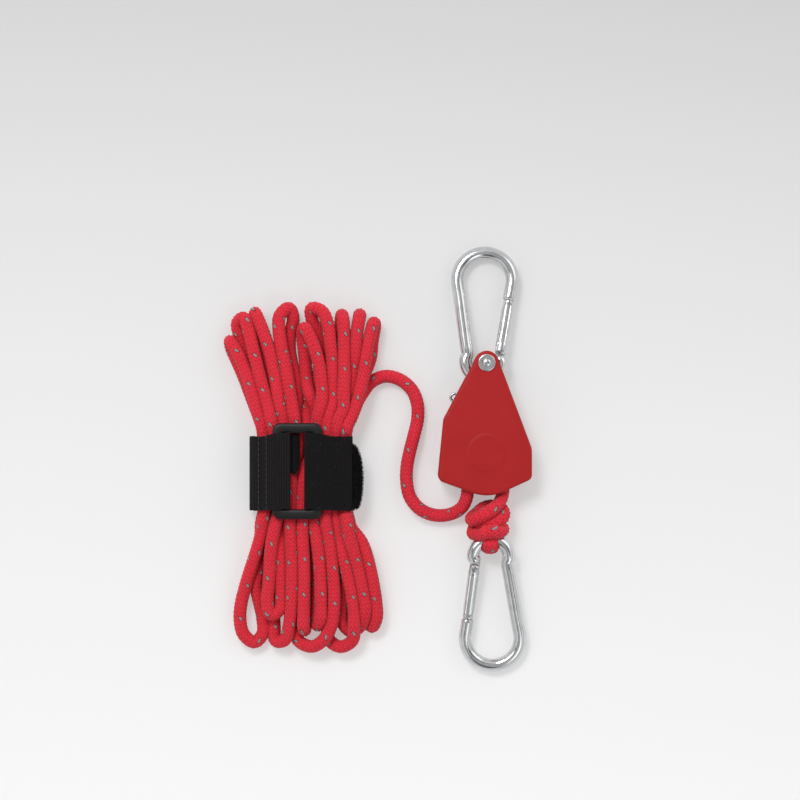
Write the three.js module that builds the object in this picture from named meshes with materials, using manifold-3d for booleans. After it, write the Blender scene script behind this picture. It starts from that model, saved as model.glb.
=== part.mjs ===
// Rope ratchet hoist: a sheave with a click ratchet between two red pressed-steel shells, a spring-gate
// snap hook at each end, and the spare rope folded into a hank held by a hook-and-loop cinch strap.
// Millimetres. +Y runs from the load hook to the hanging hook, +Z is up from the surface the part lies on.
// The origin is under the middle of the housing and hooks, on that surface.
import * as THREE from 'three';
import { mergeVertices } from 'three/addons/utils/BufferGeometryUtils.js';
import Module from 'manifold-3d';

const wasm = await Module();
wasm.setup();

// ---- Clearances ----
const GAP = 0.3; // between pieces that meet
const CORD_GAP = 0.7; // between two cord ends that meet at a slight bend
const SEAT = 0.05; // between flat pieces stacked by a rivet
const RUN = 0.12; // radial, round a turning pin

// ---- Rope ----
const ROPE_D = 6.3;

// ---- Housing ----
const HOUSE_WIDTH = 46.8;
const HOUSE_THICK = 15.2;
const WALL = 1.2;
const EDGE_R = 1.6; // rounding of the pressed edge
const TOP_R = 6; // round top of the shells, about the hanging pin
const BELLY_R = 21.25; // round belly of the shells, about the sheave
const PIN_TO_SHEAVE = 44.8;
const CENTRE_X = 0.9; // the pin and sheave stand a little right of the housing's middle
const SHEAVE_Y = 3.4;
const BOSS_R = 9.2; // pressed hub circle
const BOSS_RISE = 0.4;
const WALL_TOP_Y = 27.4; // the side walls end here, and the plates go on up to the pin
const MOUTH_HALF_WIDTH = 14.4; // rope mouth in the bottom edge, about the sheave's middle
const WASHER_R = 4.25;
const WASHER_T = 0.6;
const PIN_R = 2.5; // hanging pin between the shells
const TENON_R = 1.6; // riveted ends of that pin
const RIVET_HEAD_R = 2.15;
const FRONT_HEAD_RISE = 1.1;
const BACK_HEAD_RISE = 0.7;

// ---- Sheave and ratchet ----
const GROOVE_R = 9.5; // to the middle of the rope
const FLANGE_R = 11.5;
const FLANGE_T = 1.2;
const RATCHET_R = 12.2;
const RATCHET_DEPTH = 1.3;
const RATCHET_TEETH = 12;
const RATCHET_T = 1.7;
const AXLE_R = 2.5;
const BUSH_WALL = 0.9;
const HUB_R = 4.4;

// ---- Release lever ----
const LEVER_PIN = [3.4, 20.9];
const LEVER_PIN_R = 1.4;
const LEVER_EYE = [-15.1, 30.9];
const LEVER_EYE_R = 2.5;
const LEVER_HOLE_R = 1.3;
const LEVER_ARM = 3.2; // width
const LEVER_T = 1.4;
const PAWL_ANGLE = 125; // degrees round the sheave to the tooth it stops
const SPRING_WIRE_R = 0.35;

// ---- Snap hooks ----
const HOOK_WIRE_D = 6.5;
const EYE_R = 8.95; // wire centre line, small end
const CROWN_R = 13.75; // wire centre line, big end
const HOOK_SPAN = 40.8; // small end's centre to big end's centre
const NECK_IN = 1.35; // how far the legs step in from the small end
const GATE_FOOT = 5.4; // gate pivot above the small end's centre
const GATE_HEAD = 30.5; // gate's free end above the small end's centre
const GATE_R = 2.9;
const GATE_BORE_R = 1.5;
const GATE_PIN_R = 0.95;
const TONGUE_T = 2.4;

// ---- Strap and buckle round the hank ----
const STRAP_T = 1.6;
const STRAP_Y = [-25.1, 11.3];
const STRAP_LEFT = -117.3;
const STRAP_RIGHT = -62.3;
const FOLD_SHORT = 1.5; // the sewn fold stops this far short of the left side
const FLAP_RIGHT = -60.8;
const BUCKLE_MIDDLE = [-93.3, -6];
const BUCKLE_SIZE = [24.9, 48.4];
const BUCKLE_BARS = [4.5, 5]; // width of its side bars and of its end bars
const BUCKLE_T = 3;
const STRAP_SLOT = 7.4; // open middle of the buckle, between the two folds of strap

// ---- Derived places ----
const HALF_T = HOUSE_THICK / 2;
const CAVITY = HALF_T - WALL;
const BACK_STACK = SEAT + WASHER_T + SEAT + BACK_HEAD_RISE;
const MID_Z = HALF_T + BACK_STACK; // the housing's middle plane
const PIN_Y = SHEAVE_Y + PIN_TO_SHEAVE;
const ROPE_R = ROPE_D / 2;
const WIRE_R = HOOK_WIRE_D / 2;
const HANK_TOP = STRAP_T + GAP + 2 * ROPE_D;
const HANK_ROUND = ROPE_R;

// ---- Solids ----
function welded(geometry) {
  const bare = geometry.index ? geometry.toNonIndexed() : geometry.clone();
  bare.deleteAttribute('normal');
  bare.deleteAttribute('uv');
  return mergeVertices(bare, 1e-4);
}

function solid(geometry) {
  const shell = welded(geometry);
  const make = (triVerts) => new wasm.Manifold(
    new wasm.Mesh({ numProp: 3, vertProperties: shell.attributes.position.array, triVerts }),
  );
  const index = Uint32Array.from(shell.index.array);
  const made = make(index);
  return made.volume() > 0 ? made : make(index.reverse());
}

function geometryOf(manifold) {
  const mesh = manifold.getMesh();
  const geometry = new THREE.BufferGeometry();
  geometry.setAttribute('position', new THREE.BufferAttribute(mesh.vertProperties, 3));
  geometry.setIndex(new THREE.BufferAttribute(mesh.triVerts, 1));
  return geometry;
}

function block([x0, y0, z0], [x1, y1, z1]) {
  const box = new THREE.BoxGeometry(x1 - x0, y1 - y0, z1 - z0);
  return solid(box.translate((x0 + x1) / 2, (y0 + y1) / 2, (z0 + z1) / 2));
}

// A round bar along Z.
function rod(x, y, radius, z0, z1, sides = 28) {
  const bar = new THREE.CylinderGeometry(radius, radius, z1 - z0, sides);
  return solid(bar.rotateX(Math.PI / 2).translate(x, y, (z0 + z1) / 2));
}

// A turned piece on a Z axis: the profile is [radius, z] pairs.
function turned(x, y, profile, sides = 36) {
  const points = profile.map(([radius, z]) => new THREE.Vector2(radius, z));
  return solid(new THREE.LatheGeometry(points, sides).rotateX(Math.PI / 2).translate(x, y, 0));
}

// A flat plate from an outline of [x, y] points.
function plate(points, z0, z1, holes = []) {
  const shape = new THREE.Shape(points.map(([x, y]) => new THREE.Vector2(x, y)));
  shape.holes = holes.map((hole) => new THREE.Path(hole.map(([x, y]) => new THREE.Vector2(x, y))));
  return solid(new THREE.ExtrudeGeometry(shape, { depth: z1 - z0, bevelEnabled: false }).translate(0, 0, z0));
}

function circle(x, y, radius, sides) {
  return Array.from({ length: sides }, (_, i) => {
    const turn = (2 * Math.PI * i) / sides;
    return [x + radius * Math.cos(turn), y + radius * Math.sin(turn)];
  });
}

// The taut outline round a set of [x, y, radius] discs.
function tautOutline(discs, sides = 30) {
  const cloud = discs.flatMap(([x, y, radius]) => circle(x, y, radius, sides));
  cloud.sort((a, b) => a[0] - b[0] || a[1] - b[1]);
  const turnsLeft = (a, b, c) => (b[0] - a[0]) * (c[1] - a[1]) - (b[1] - a[1]) * (c[0] - a[0]) > 1e-6;
  const halfHull = (points) => points.reduce((hull, point) => {
    while (hull.length > 1 && !turnsLeft(hull.at(-2), hull.at(-1), point)) hull.pop();
    return [...hull, point];
  }, []);
  const lower = halfHull(cloud);
  const upper = halfHull(cloud.reverse());
  return [...lower.slice(0, -1), ...upper.slice(0, -1)];
}

// A round bar that follows a curve.
function bent(curve, radius, steps, sides = 10) {
  const shape = new THREE.Shape(circle(0, 0, radius, sides).map(([x, y]) => new THREE.Vector2(x, y)));
  return solid(new THREE.ExtrudeGeometry(shape, { steps, extrudePath: curve, bevelEnabled: false }));
}

function through(points) {
  return new THREE.CatmullRomCurve3(points.map((point) => new THREE.Vector3(...point)), false, 'centripetal');
}

function arc(cx, cy, radius, from, to, count) {
  return Array.from({ length: count }, (_, i) => {
    const turn = THREE.MathUtils.degToRad(from + ((to - from) * i) / (count - 1));
    return [cx + radius * Math.cos(turn), cy + radius * Math.sin(turn)];
  });
}

class Coil extends THREE.Curve {
  constructor(radius, turns, rise) {
    super();
    Object.assign(this, { radius, turns, rise });
  }

  getPoint(t, target = new THREE.Vector3()) {
    const turn = 2 * Math.PI * this.turns * t;
    return target.set(this.radius * Math.cos(turn), this.radius * Math.sin(turn), this.rise * t);
  }
}

// ---- Finishes ----
const finish = (color, roughness, metalness) => new THREE.MeshStandardMaterial({ color, roughness, metalness });
const redPaint = finish(0xab2a2a, 0.45, 0.1);
const zinc = finish(0xb9bcc0, 0.3, 0.9);
const steel = finish(0x8d9096, 0.35, 0.9);
const bronze = finish(0xa8803e, 0.4, 0.9);
const redRope = finish(0xd8323f, 0.85, 0);
const webbing = finish(0x211e1f, 0.95, 0);
const blackPlastic = finish(0x2a2727, 0.5, 0);

const hoist = new THREE.Group();

function add(name, manifold, material, parent = hoist) {
  const mesh = new THREE.Mesh(geometryOf(manifold), material);
  mesh.name = name;
  parent.add(mesh);
  return mesh;
}

// ---- Housing shells ----
function housingDiscs() {
  const half = HOUSE_WIDTH / 2;
  const [shoulder, leftFoot, rightFoot, hip] = [4, 4, 3.1, 9.7];
  return [
    [CENTRE_X, PIN_Y, TOP_R],
    [CENTRE_X, SHEAVE_Y, BELLY_R],
    [shoulder - half + 2.65, SHEAVE_Y + 15.55, shoulder],
    [leftFoot - half, SHEAVE_Y - 11, leftFoot],
    [half - rightFoot, SHEAVE_Y - 11, rightFoot],
    [half - hip, SHEAVE_Y + 0.25, hip],
  ];
}

function clamShell() {
  const inset = (by) => tautOutline(housingDiscs().map(([x, y, radius]) => [x, y, radius - by]));
  const skin = new THREE.Shape(inset(0).map(([x, y]) => new THREE.Vector2(x, y)));
  const pressed = new THREE.ExtrudeGeometry(skin, {
    depth: HOUSE_THICK - 2 * EDGE_R,
    bevelThickness: EDGE_R,
    bevelSize: EDGE_R,
    bevelOffset: -EDGE_R,
    bevelSegments: 3,
  });
  const boss = turned(CENTRE_X, SHEAVE_Y, [
    [0, -HALF_T - BOSS_RISE], [BOSS_R - 1, -HALF_T - BOSS_RISE], [BOSS_R, -HALF_T + 0.1],
    [BOSS_R, HALF_T - 0.1], [BOSS_R - 1, HALF_T + BOSS_RISE], [0, HALF_T + BOSS_RISE],
  ]);
  const far = HOUSE_WIDTH + PIN_TO_SHEAVE;
  const mouth = [CENTRE_X - MOUTH_HALF_WIDTH, CENTRE_X + MOUTH_HALF_WIDTH];
  return solid(pressed.translate(0, 0, EDGE_R - HALF_T)).add(boss)
    .subtract(plate(inset(WALL), -CAVITY, CAVITY))
    .subtract(block([-far, WALL_TOP_Y, -CAVITY], [far, far + PIN_Y, CAVITY]))
    .subtract(block([mouth[0], -far, -CAVITY], [mouth[1], SHEAVE_Y - GROOVE_R, CAVITY]))
    .subtract(rod(CENTRE_X, PIN_Y, TENON_R + RUN, -HOUSE_THICK, HOUSE_THICK));
}

function housing() {
  const clam = clamShell().translate(0, 0, MID_Z);
  const far = HOUSE_WIDTH + PIN_TO_SHEAVE;
  const split = MID_Z + GAP / 2;
  add('front_shell', clam.intersect(block([-far, -far, split], [far, far, 2 * split])), redPaint);
  add('back_shell', clam.intersect(block([-far, -far, -split], [far, far, split - GAP])), redPaint);
}

function hangingPin() {
  const seat = HALF_T + SEAT;
  const head = seat + WASHER_T + SEAT;
  const shoulder = CAVITY - SEAT;
  const rivet = turned(CENTRE_X, PIN_Y, [
    [0, -head - BACK_HEAD_RISE], [RIVET_HEAD_R * 0.7, -head - BACK_HEAD_RISE * 0.85], [RIVET_HEAD_R, -head],
    [TENON_R, -head], [TENON_R, -shoulder], [PIN_R, -shoulder], [PIN_R, shoulder], [TENON_R, shoulder],
    [TENON_R, head], [RIVET_HEAD_R, head], [RIVET_HEAD_R * 0.85, head + FRONT_HEAD_RISE * 0.6],
    [RIVET_HEAD_R * 0.45, head + FRONT_HEAD_RISE * 0.93], [0, head + FRONT_HEAD_RISE],
  ], 24);
  add('top_rivet', rivet.translate(0, 0, MID_Z), zinc);
  for (const [name, low] of [['front_washer', seat], ['back_washer', -seat - WASHER_T]]) {
    const washer = rod(CENTRE_X, PIN_Y, WASHER_R, low, low + WASHER_T, 36)
      .subtract(rod(CENTRE_X, PIN_Y, TENON_R + RUN, low - 1, low + WASHER_T + 1));
    add(name, washer.translate(0, 0, MID_Z), zinc);
  }
}

// ---- Sheave, bush, ratchet wheel and axle ----
const SHEAVE_BACK = -ROPE_R - GAP; // inner face of the ratchet wheel, which is the back flange
const WHEEL_BACK = SHEAVE_BACK - RATCHET_T;
const HUB_FRONT = ROPE_R + GAP + FLANGE_T;

function sheave() {
  const bushR = AXLE_R + RUN + BUSH_WALL;
  const groove = arc(0, GROOVE_R, ROPE_R + GAP, 190, 350, 9).map(([z, radius]) => [radius, z]);
  const profile = [
    [bushR + SEAT, WHEEL_BACK], [HUB_R, WHEEL_BACK], [HUB_R, groove[0][1]],
    ...groove,
    [FLANGE_R, ROPE_R + 2 * GAP], [FLANGE_R, HUB_FRONT], [bushR + SEAT, HUB_FRONT],
    [bushR + SEAT, WHEEL_BACK],
  ];
  add('sheave', turned(CENTRE_X, SHEAVE_Y, profile).translate(0, 0, MID_Z), zinc);
  const bush = rod(CENTRE_X, SHEAVE_Y, bushR, WHEEL_BACK, HUB_FRONT)
    .subtract(rod(CENTRE_X, SHEAVE_Y, AXLE_R + RUN, WHEEL_BACK - 1, HUB_FRONT + 1));
  add('sheave_bush', bush.translate(0, 0, MID_Z), bronze);
  add('sheave_axle', rod(CENTRE_X, SHEAVE_Y, AXLE_R, MID_Z - CAVITY + SEAT, MID_Z + CAVITY - SEAT), steel);
}

// Saw teeth that let the wheel turn anticlockwise, seen from the front, and stop it the other way.
function ratchetWheel() {
  const pitch = 360 / RATCHET_TEETH;
  const teeth = Array.from({ length: RATCHET_TEETH }, (_, i) => PAWL_ANGLE + pitch * i).flatMap((face) => {
    const [tip] = arc(CENTRE_X, SHEAVE_Y, RATCHET_R, face, face, 2);
    const [back] = arc(CENTRE_X, SHEAVE_Y, RATCHET_R - RATCHET_DEPTH / 2, face + pitch / 2, face, 2);
    const [root] = arc(CENTRE_X, SHEAVE_Y, RATCHET_R - RATCHET_DEPTH, face + pitch - 0.5, face, 2);
    return [tip, back, root];
  });
  const wheel = plate(teeth, WHEEL_BACK, SHEAVE_BACK, [circle(CENTRE_X, SHEAVE_Y, HUB_R + SEAT * 2, 32)]);
  add('ratchet_wheel', wheel.translate(0, 0, MID_Z), steel);
}

// ---- Release lever: pawl tip, pivot and finger eye in one stamping ----
function releaseLever() {
  const low = WHEEL_BACK + (RATCHET_T - LEVER_T) / 2;
  const high = low + LEVER_T;
  const [seat] = arc(CENTRE_X, SHEAVE_Y, RATCHET_R - RATCHET_DEPTH / 2 + GAP, PAWL_ANGLE - 3.4, 0, 2);
  const boss = LEVER_PIN_R + 1.6;
  const arm = plate(tautOutline([[...LEVER_PIN, LEVER_ARM / 2], [...LEVER_EYE, LEVER_ARM / 2 - 0.4]]), low, high);
  const pawl = plate(tautOutline([[...LEVER_PIN, boss - 0.6], [seat[0] + 0.35, seat[1] + 0.75, 0.45]], 24), low, high);
  const lever = arm.add(pawl).add(rod(...LEVER_PIN, boss, low, high)).add(rod(...LEVER_EYE, LEVER_EYE_R, low, high))
    .subtract(rod(...LEVER_EYE, LEVER_HOLE_R, low - 1, high + 1, 16))
    .subtract(rod(...LEVER_PIN, LEVER_PIN_R + RUN, low - 1, high + 1));
  add('release_lever', lever.translate(0, 0, MID_Z), zinc);
  add('lever_pin', rod(...LEVER_PIN, LEVER_PIN_R, MID_Z - CAVITY + SEAT, MID_Z + CAVITY - SEAT, 20), steel);
  const turns = 4;
  const coil = bent(new Coil(LEVER_PIN_R + GAP + SPRING_WIRE_R, turns, turns * SPRING_WIRE_R * 3), SPRING_WIRE_R,
    turns * 12, 6);
  add('lever_spring', coil.translate(...LEVER_PIN, MID_Z + high + SPRING_WIRE_R + GAP), steel);
}

// ---- Snap hooks ----
const legX = (y) => EYE_R - NECK_IN + ((CROWN_R - EYE_R + NECK_IN) * y) / HOOK_SPAN;
const LEG_LEAN = Math.atan((CROWN_R - EYE_R + NECK_IN) / HOOK_SPAN);
const GATE_LENGTH = (GATE_HEAD - GATE_FOOT) / Math.cos(LEG_LEAN);
const GATE_SLOT = TONGUE_T / 2 + GAP;
const WIRE_TO_PIVOT = GATE_R + 0.5;

// Lay a piece drawn along +X from the gate's pivot into the gate's place.
const alongGate = (manifold) => manifold.rotate([0, 0, 90 - THREE.MathUtils.radToDeg(LEG_LEAN)])
  .translate([legX(GATE_FOOT), GATE_FOOT, 0]);

// A round bar along X from the gate's pivot.
function gateBar(radius, from, to, sides = 16) {
  const bar = new THREE.CylinderGeometry(radius, radius, to - from, sides);
  return solid(bar.rotateZ(Math.PI / 2).translate((from + to) / 2, 0, 0));
}

function hookWire() {
  const lean = THREE.MathUtils.radToDeg(LEG_LEAN);
  const foot = GATE_FOOT - WIRE_TO_PIVOT;
  const nose = GATE_HEAD + GAP;
  const points = [
    [legX(foot), foot],
    ...arc(0, 0, EYE_R, -8, -172, 9),
    ...[foot, 12, 24].map((y) => [-legX(y), y]),
    ...arc(0, HOOK_SPAN, CROWN_R, 180 + lean, -lean, 10),
    [legX((HOOK_SPAN + nose) / 2 - 1), (HOOK_SPAN + nose) / 2 - 1],
    [legX(nose), nose],
  ];
  return bent(through(points.map(([x, y]) => [x, y, 0])), WIRE_R, 76, 12);
}

function snapHook(name, parent) {
  const tongue = alongGate(
    plate(tautOutline([[0, 0, GATE_R - 0.4], [-WIRE_TO_PIVOT - 1, 0, GATE_R - 0.4]], 24), -TONGUE_T / 2, TONGUE_T / 2),
  );
  const latch = alongGate(block([GATE_LENGTH - 3, -2.2, -TONGUE_T / 2], [GATE_LENGTH + 2, 2.2, TONGUE_T / 2]));
  const pivotHole = alongGate(rod(0, 0, GATE_PIN_R + RUN, -WIRE_R - 1, WIRE_R + 1, 16));
  add(`${name}_hook`, hookWire().add(tongue).add(latch).subtract(pivotHole), zinc, parent);

  const knuckle = rod(0, 0, GATE_R, -GATE_R, GATE_R, 24);
  const bar = gateBar(GATE_R, -GATE_R, GATE_LENGTH);
  const rounded = bar.intersect(knuckle.add(block([0, -GATE_R, -GATE_R], [GATE_LENGTH, GATE_R, GATE_R])));
  const footSlot = rod(0, 0, GATE_R + GAP, -GATE_SLOT, GATE_SLOT, 24)
    .add(block([-2 * GATE_R, -2 * GATE_R, -GATE_SLOT], [0, 2 * GATE_R, GATE_SLOT]));
  const headSlot = block([GATE_LENGTH - 3.5, -2 * GATE_R, -GATE_SLOT], [GATE_LENGTH + 1, 2 * GATE_R, GATE_SLOT]);
  const boreEnd = GATE_LENGTH - 7;
  const gate = rounded.subtract(footSlot).subtract(headSlot)
    .subtract(gateBar(GATE_BORE_R, 1, boreEnd, 12)).subtract(rod(0, 0, GATE_PIN_R + RUN, -GATE_R, GATE_R, 16));
  add(`${name}_gate`, alongGate(gate), zinc, parent);

  const rivet = turned(0, 0, [
    [0, -GATE_R - 0.6], [1.3, -GATE_R - 0.4], [1.5, -GATE_R - SEAT], [GATE_PIN_R, -GATE_R - SEAT],
    [GATE_PIN_R, GATE_R + SEAT], [1.5, GATE_R + SEAT], [1.3, GATE_R + 0.4], [0, GATE_R + 0.6],
  ], 16);
  add(`${name}_gate_rivet`, alongGate(rivet), steel, parent);

  const plungerFrom = GATE_R + GAP;
  const plungerTo = plungerFrom + 4;
  add(`${name}_gate_plunger`, alongGate(gateBar(GATE_BORE_R - GAP, plungerFrom, plungerTo, 12)), steel, parent);
  const wireR = 0.22;
  const springFrom = plungerTo + GAP + wireR;
  const spring = bent(new Coil(GATE_BORE_R - GAP - wireR, 7, boreEnd - GAP - wireR - springFrom), wireR, 70, 6)
    .rotate([0, 90, 0]).translate([springFrom, 0, 0]);
  add(`${name}_gate_spring`, alongGate(spring), steel, parent);
}

// A hook leans in the plane of the surface and tilts until its crown lies on it.
function placedHook(name, eyeXY, turn, wireHeight, wireY) {
  const reach = HOOK_SPAN + CROWN_R - wireY;
  const tilt = Math.asin((wireHeight - WIRE_R) / reach);
  const hook = new THREE.Group();
  hook.position.set(...eyeXY, wireHeight + wireY * Math.sin(tilt));
  hook.rotation.set(-tilt, 0, THREE.MathUtils.degToRad(turn), 'ZXY');
  hoist.add(hook);
  snapHook(name, hook);
}

// ---- Rope ----
const LEAD_EXIT = [-8.7, -17.6, MID_Z];
const LOAD_EXIT = [8.3, -17.6, MID_Z];
const KNOT = { middle: [1.35, -28.6, 8.9], half: [10.75, 7.6, 8.8] };
const ROPE_EYE = { x: 2.5, y: -40.1, ropeR: 2.75 };
const EYE_BIGHT_R = WIRE_R + ROPE_EYE.ropeR + 0.2;
const EYE_WIRE_Z = EYE_BIGHT_R + ROPE_EYE.ropeR + SEAT; // the rope passes under the hook's wire

function heldRope() {
  const over = arc(CENTRE_X, SHEAVE_Y, GROOVE_R, 180, 0, 9);
  const points = [[LEAD_EXIT[0], LEAD_EXIT[1] + CORD_GAP], [CENTRE_X - GROOVE_R, -8], ...over,
    [CENTRE_X + GROOVE_R - 0.6, -8], [LOAD_EXIT[0], LOAD_EXIT[1] + CORD_GAP]];
  add('rope_over_sheave', bent(through(points.map(([x, y]) => [x, y, MID_Z])), ROPE_R - 0.05, 36, 12), redRope);
}

function looseRope() {
  const flat = ROPE_R + 0.05;
  const lead = [
    LEAD_EXIT, [-8.8, -18.6, MID_Z - 0.1], [-9.6, -20.9, MID_Z - 1], [-11.6, -23.8, 6.2], [-15.6, -26.6, 4.2],
    [-20.8, -28.2, flat], [-26.8, -27.7, flat], [-32.7, -24.7, flat], [-37.1, -19.3, flat], [-38.9, -12, flat],
    [-38.9, -4.3, flat], [-37.2, 4.6, flat], [-34.9, 13.6, flat], [-33.4, 20.6, flat], [-33.6, 27.6, flat],
    [-36, 34.2, flat], [-40.8, 39, flat], [-46.8, 41.2, flat], [-51.8, 41.4, flat], [-54.6, 41, flat],
  ];
  add('rope_lead', bent(through(lead), ROPE_R, 40), redRope);
  add('rope_load_line', bent(through([LOAD_EXIT, [8.2, -18.6, MID_Z], [7.8, -21, MID_Z]]), ROPE_R, 4), redRope);
  const lump = new THREE.SphereGeometry(1, 20, 14).scale(...KNOT.half).translate(...KNOT.middle);
  add('rope_knot', solid(lump), redRope);
  const { x, y, ropeR } = ROPE_EYE;
  const bight = [[3.5, EYE_BIGHT_R], [0, EYE_BIGHT_R], ...arc(0, 0, EYE_BIGHT_R, 105, 255, 7),
    [0, -EYE_BIGHT_R], [3.5, -EYE_BIGHT_R]];
  add('rope_eye', bent(through(bight.map(([dy, dz]) => [x, y + dy, EYE_WIRE_Z + dz])), ropeR, 24), redRope);
}

// The folded spare rope: a long bundle, drawn in at the strap, wide and round at both ends.
function hank() {
  const side = [
    [-98.3, 77.6], [-80, 77.2], [-62, 75], [-53.4, 68], [-53, 55], [-56.3, 41], [-60.6, 28], [-64.4, 16],
    [-65, 4], [-65, -18], [-64.4, -31], [-59, -45], [-54, -60], [-51.6, -75], [-55, -86], [-66, -93.4],
    [-87.3, -95.8], [-106, -94.2], [-121, -90], [-125, -78], [-121.4, -61], [-116.4, -43], [-114.8, -28],
    [-114.6, -14], [-114.6, 6], [-116.2, 26], [-122.4, 45], [-130.6, 56], [-128.6, 67], [-116, 75.6],
  ];
  const curve = new THREE.CatmullRomCurve3(side.map(([x, y]) => new THREE.Vector3(x, y, 0)), true, 'centripetal');
  const bundle = new THREE.ExtrudeGeometry(new THREE.Shape(curve.getPoints(72).slice(0, -1)), {
    depth: HANK_TOP - 2 * HANK_ROUND,
    bevelThickness: HANK_ROUND,
    bevelSize: HANK_ROUND,
    bevelOffset: -HANK_ROUND,
    bevelSegments: 2,
  });
  const channel = block(
    [STRAP_LEFT - 9, STRAP_Y[0] - 1, -1],
    [STRAP_RIGHT + 9, STRAP_Y[1] + 1, STRAP_T + GAP],
  );
  add('rope_hank', solid(bundle.translate(0, 0, HANK_ROUND)).subtract(channel), redRope);
}

// ---- Strap and buckle ----
// Strap pieces are drawn as [x, z] outlines and run the strap's width along Y.
function strapPiece(outline) {
  return plate(outline, STRAP_Y[0], STRAP_Y[1]).rotate([90, 0, 0]).translate([0, STRAP_Y[0] + STRAP_Y[1], 0]);
}

function strap() {
  const top = HANK_TOP + GAP + STRAP_T;
  const corner = 4;
  const ring = (inset) => {
    const corners = [[STRAP_LEFT, 0], [STRAP_RIGHT, 0], [STRAP_RIGHT, top], [STRAP_LEFT, top]];
    const middle = [(STRAP_LEFT + STRAP_RIGHT) / 2, top / 2];
    return tautOutline(corners.map(([x, z]) => [
      x + Math.sign(middle[0] - x) * corner, z + Math.sign(middle[1] - z) * corner, corner - inset,
    ]), 24);
  };
  const slot = [BUCKLE_MIDDLE[0] - STRAP_SLOT / 2, BUCKLE_MIDDLE[0] + STRAP_SLOT / 2];
  const band = strapPiece(ring(0)).subtract(strapPiece(ring(STRAP_T)))
    .subtract(block([slot[0], -99, top - STRAP_T - 1], [slot[1], 99, top + 1]));
  add('strap_band', band, webbing);

  const under = top + SEAT;
  const over = under + SEAT + BUCKLE_T + 2 * SEAT;
  const folded = (edge, end) => {
    const away = Math.sign(end - edge);
    const bar = BUCKLE_MIDDLE[0] + away * (BUCKLE_SIZE[0] / 2 + GAP);
    const lap = bar + away * 4.5;
    return [
      [edge, under], [edge, over + STRAP_T], [bar, over + STRAP_T], [lap, under + STRAP_T],
      [end, under + STRAP_T], [end, under], [lap, under], [bar, over],
      [edge + away * STRAP_T, over], [edge + away * STRAP_T, under],
    ];
  };
  add('strap_fold', strapPiece(folded(slot[0], STRAP_LEFT + FOLD_SHORT)), webbing);
  add('strap_flap', strapPiece(folded(slot[1], FLAP_RIGHT)), webbing);

  const frame = (inset, radius) => tautOutline([[-1, -1], [1, -1], [1, 1], [-1, 1]].map(([sx, sy]) => [
    BUCKLE_MIDDLE[0] + sx * (BUCKLE_SIZE[0] / 2 - inset[0] - radius),
    BUCKLE_MIDDLE[1] + sy * (BUCKLE_SIZE[1] / 2 - inset[1] - radius), radius,
  ]), 24);
  const base = under + SEAT;
  const buckle = plate(frame([0, 0], 4), base, base + BUCKLE_T)
    .subtract(plate(frame(BUCKLE_BARS, 1.5), base - 1, base + BUCKLE_T + 1));
  add('buckle', buckle, blackPlastic);
}

housing();
hangingPin();
sheave();
ratchetWheel();
releaseLever();
placedHook('upper', [-0.65, 49.15], -1.2, MID_Z, 0);
placedHook('lower', [3.15, ROPE_EYE.y - EYE_R], 181.3, EYE_WIRE_Z, -EYE_R);
heldRope();
looseRope();
hank();
strap();

export default hoist;
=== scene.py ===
import math

import bmesh
import bpy
import numpy as np
from mathutils import Matrix, Vector


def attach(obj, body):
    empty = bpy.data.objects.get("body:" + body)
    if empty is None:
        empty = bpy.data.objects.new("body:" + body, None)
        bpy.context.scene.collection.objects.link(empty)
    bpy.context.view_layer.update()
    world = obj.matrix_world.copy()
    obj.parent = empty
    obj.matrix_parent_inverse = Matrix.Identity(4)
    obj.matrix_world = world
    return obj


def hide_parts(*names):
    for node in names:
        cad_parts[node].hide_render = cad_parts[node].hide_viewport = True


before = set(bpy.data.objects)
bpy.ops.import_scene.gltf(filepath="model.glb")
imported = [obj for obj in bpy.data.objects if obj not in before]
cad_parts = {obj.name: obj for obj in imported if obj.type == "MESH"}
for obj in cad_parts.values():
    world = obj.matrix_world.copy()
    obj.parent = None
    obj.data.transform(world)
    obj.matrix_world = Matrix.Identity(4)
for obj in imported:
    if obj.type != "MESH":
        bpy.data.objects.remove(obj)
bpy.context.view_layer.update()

MM = 0.001
AS_DRAWN = Matrix.Identity(4)

# ---- The view, the studio and the table ----
# The hoist lies on a light grey table, whose glow is painted light that lifts the shadows, and is seen from
# straight above. A soft light stands at the upper left, and a light tent with a few dark gaps gives the
# plated wire something to reflect.
scene = bpy.context.scene
scene.view_settings.view_transform = "Standard"
lens = bpy.data.cameras.new("overhead_lens")
lens.lens, lens.sensor_width = 135, 36
overhead = bpy.data.objects.new("overhead_camera", lens)
overhead.location = (-0.0423, 0.02965, 1.508)
scene.collection.objects.link(overhead)
scene.camera = overhead


def area_light(name, place, aim, size, watts):
    lamp = bpy.data.lights.new(name, "AREA")
    lamp.shape, lamp.size, lamp.energy = "DISK", size, watts
    holder = bpy.data.objects.new(name, lamp)
    holder.location = place
    holder.rotation_euler = (Vector(aim) - Vector(place)).to_track_quat("-Z", "Y").to_euler()
    scene.collection.objects.link(holder)


area_light("key_softbox", (-0.38, 0.68, 1.1), (-0.04, 0, 0), 0.42, 7.6)
area_light("fill_softbox", (0.5, -0.6, 1.3), (-0.02, 0, 0), 0.6, 1.4)


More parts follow.
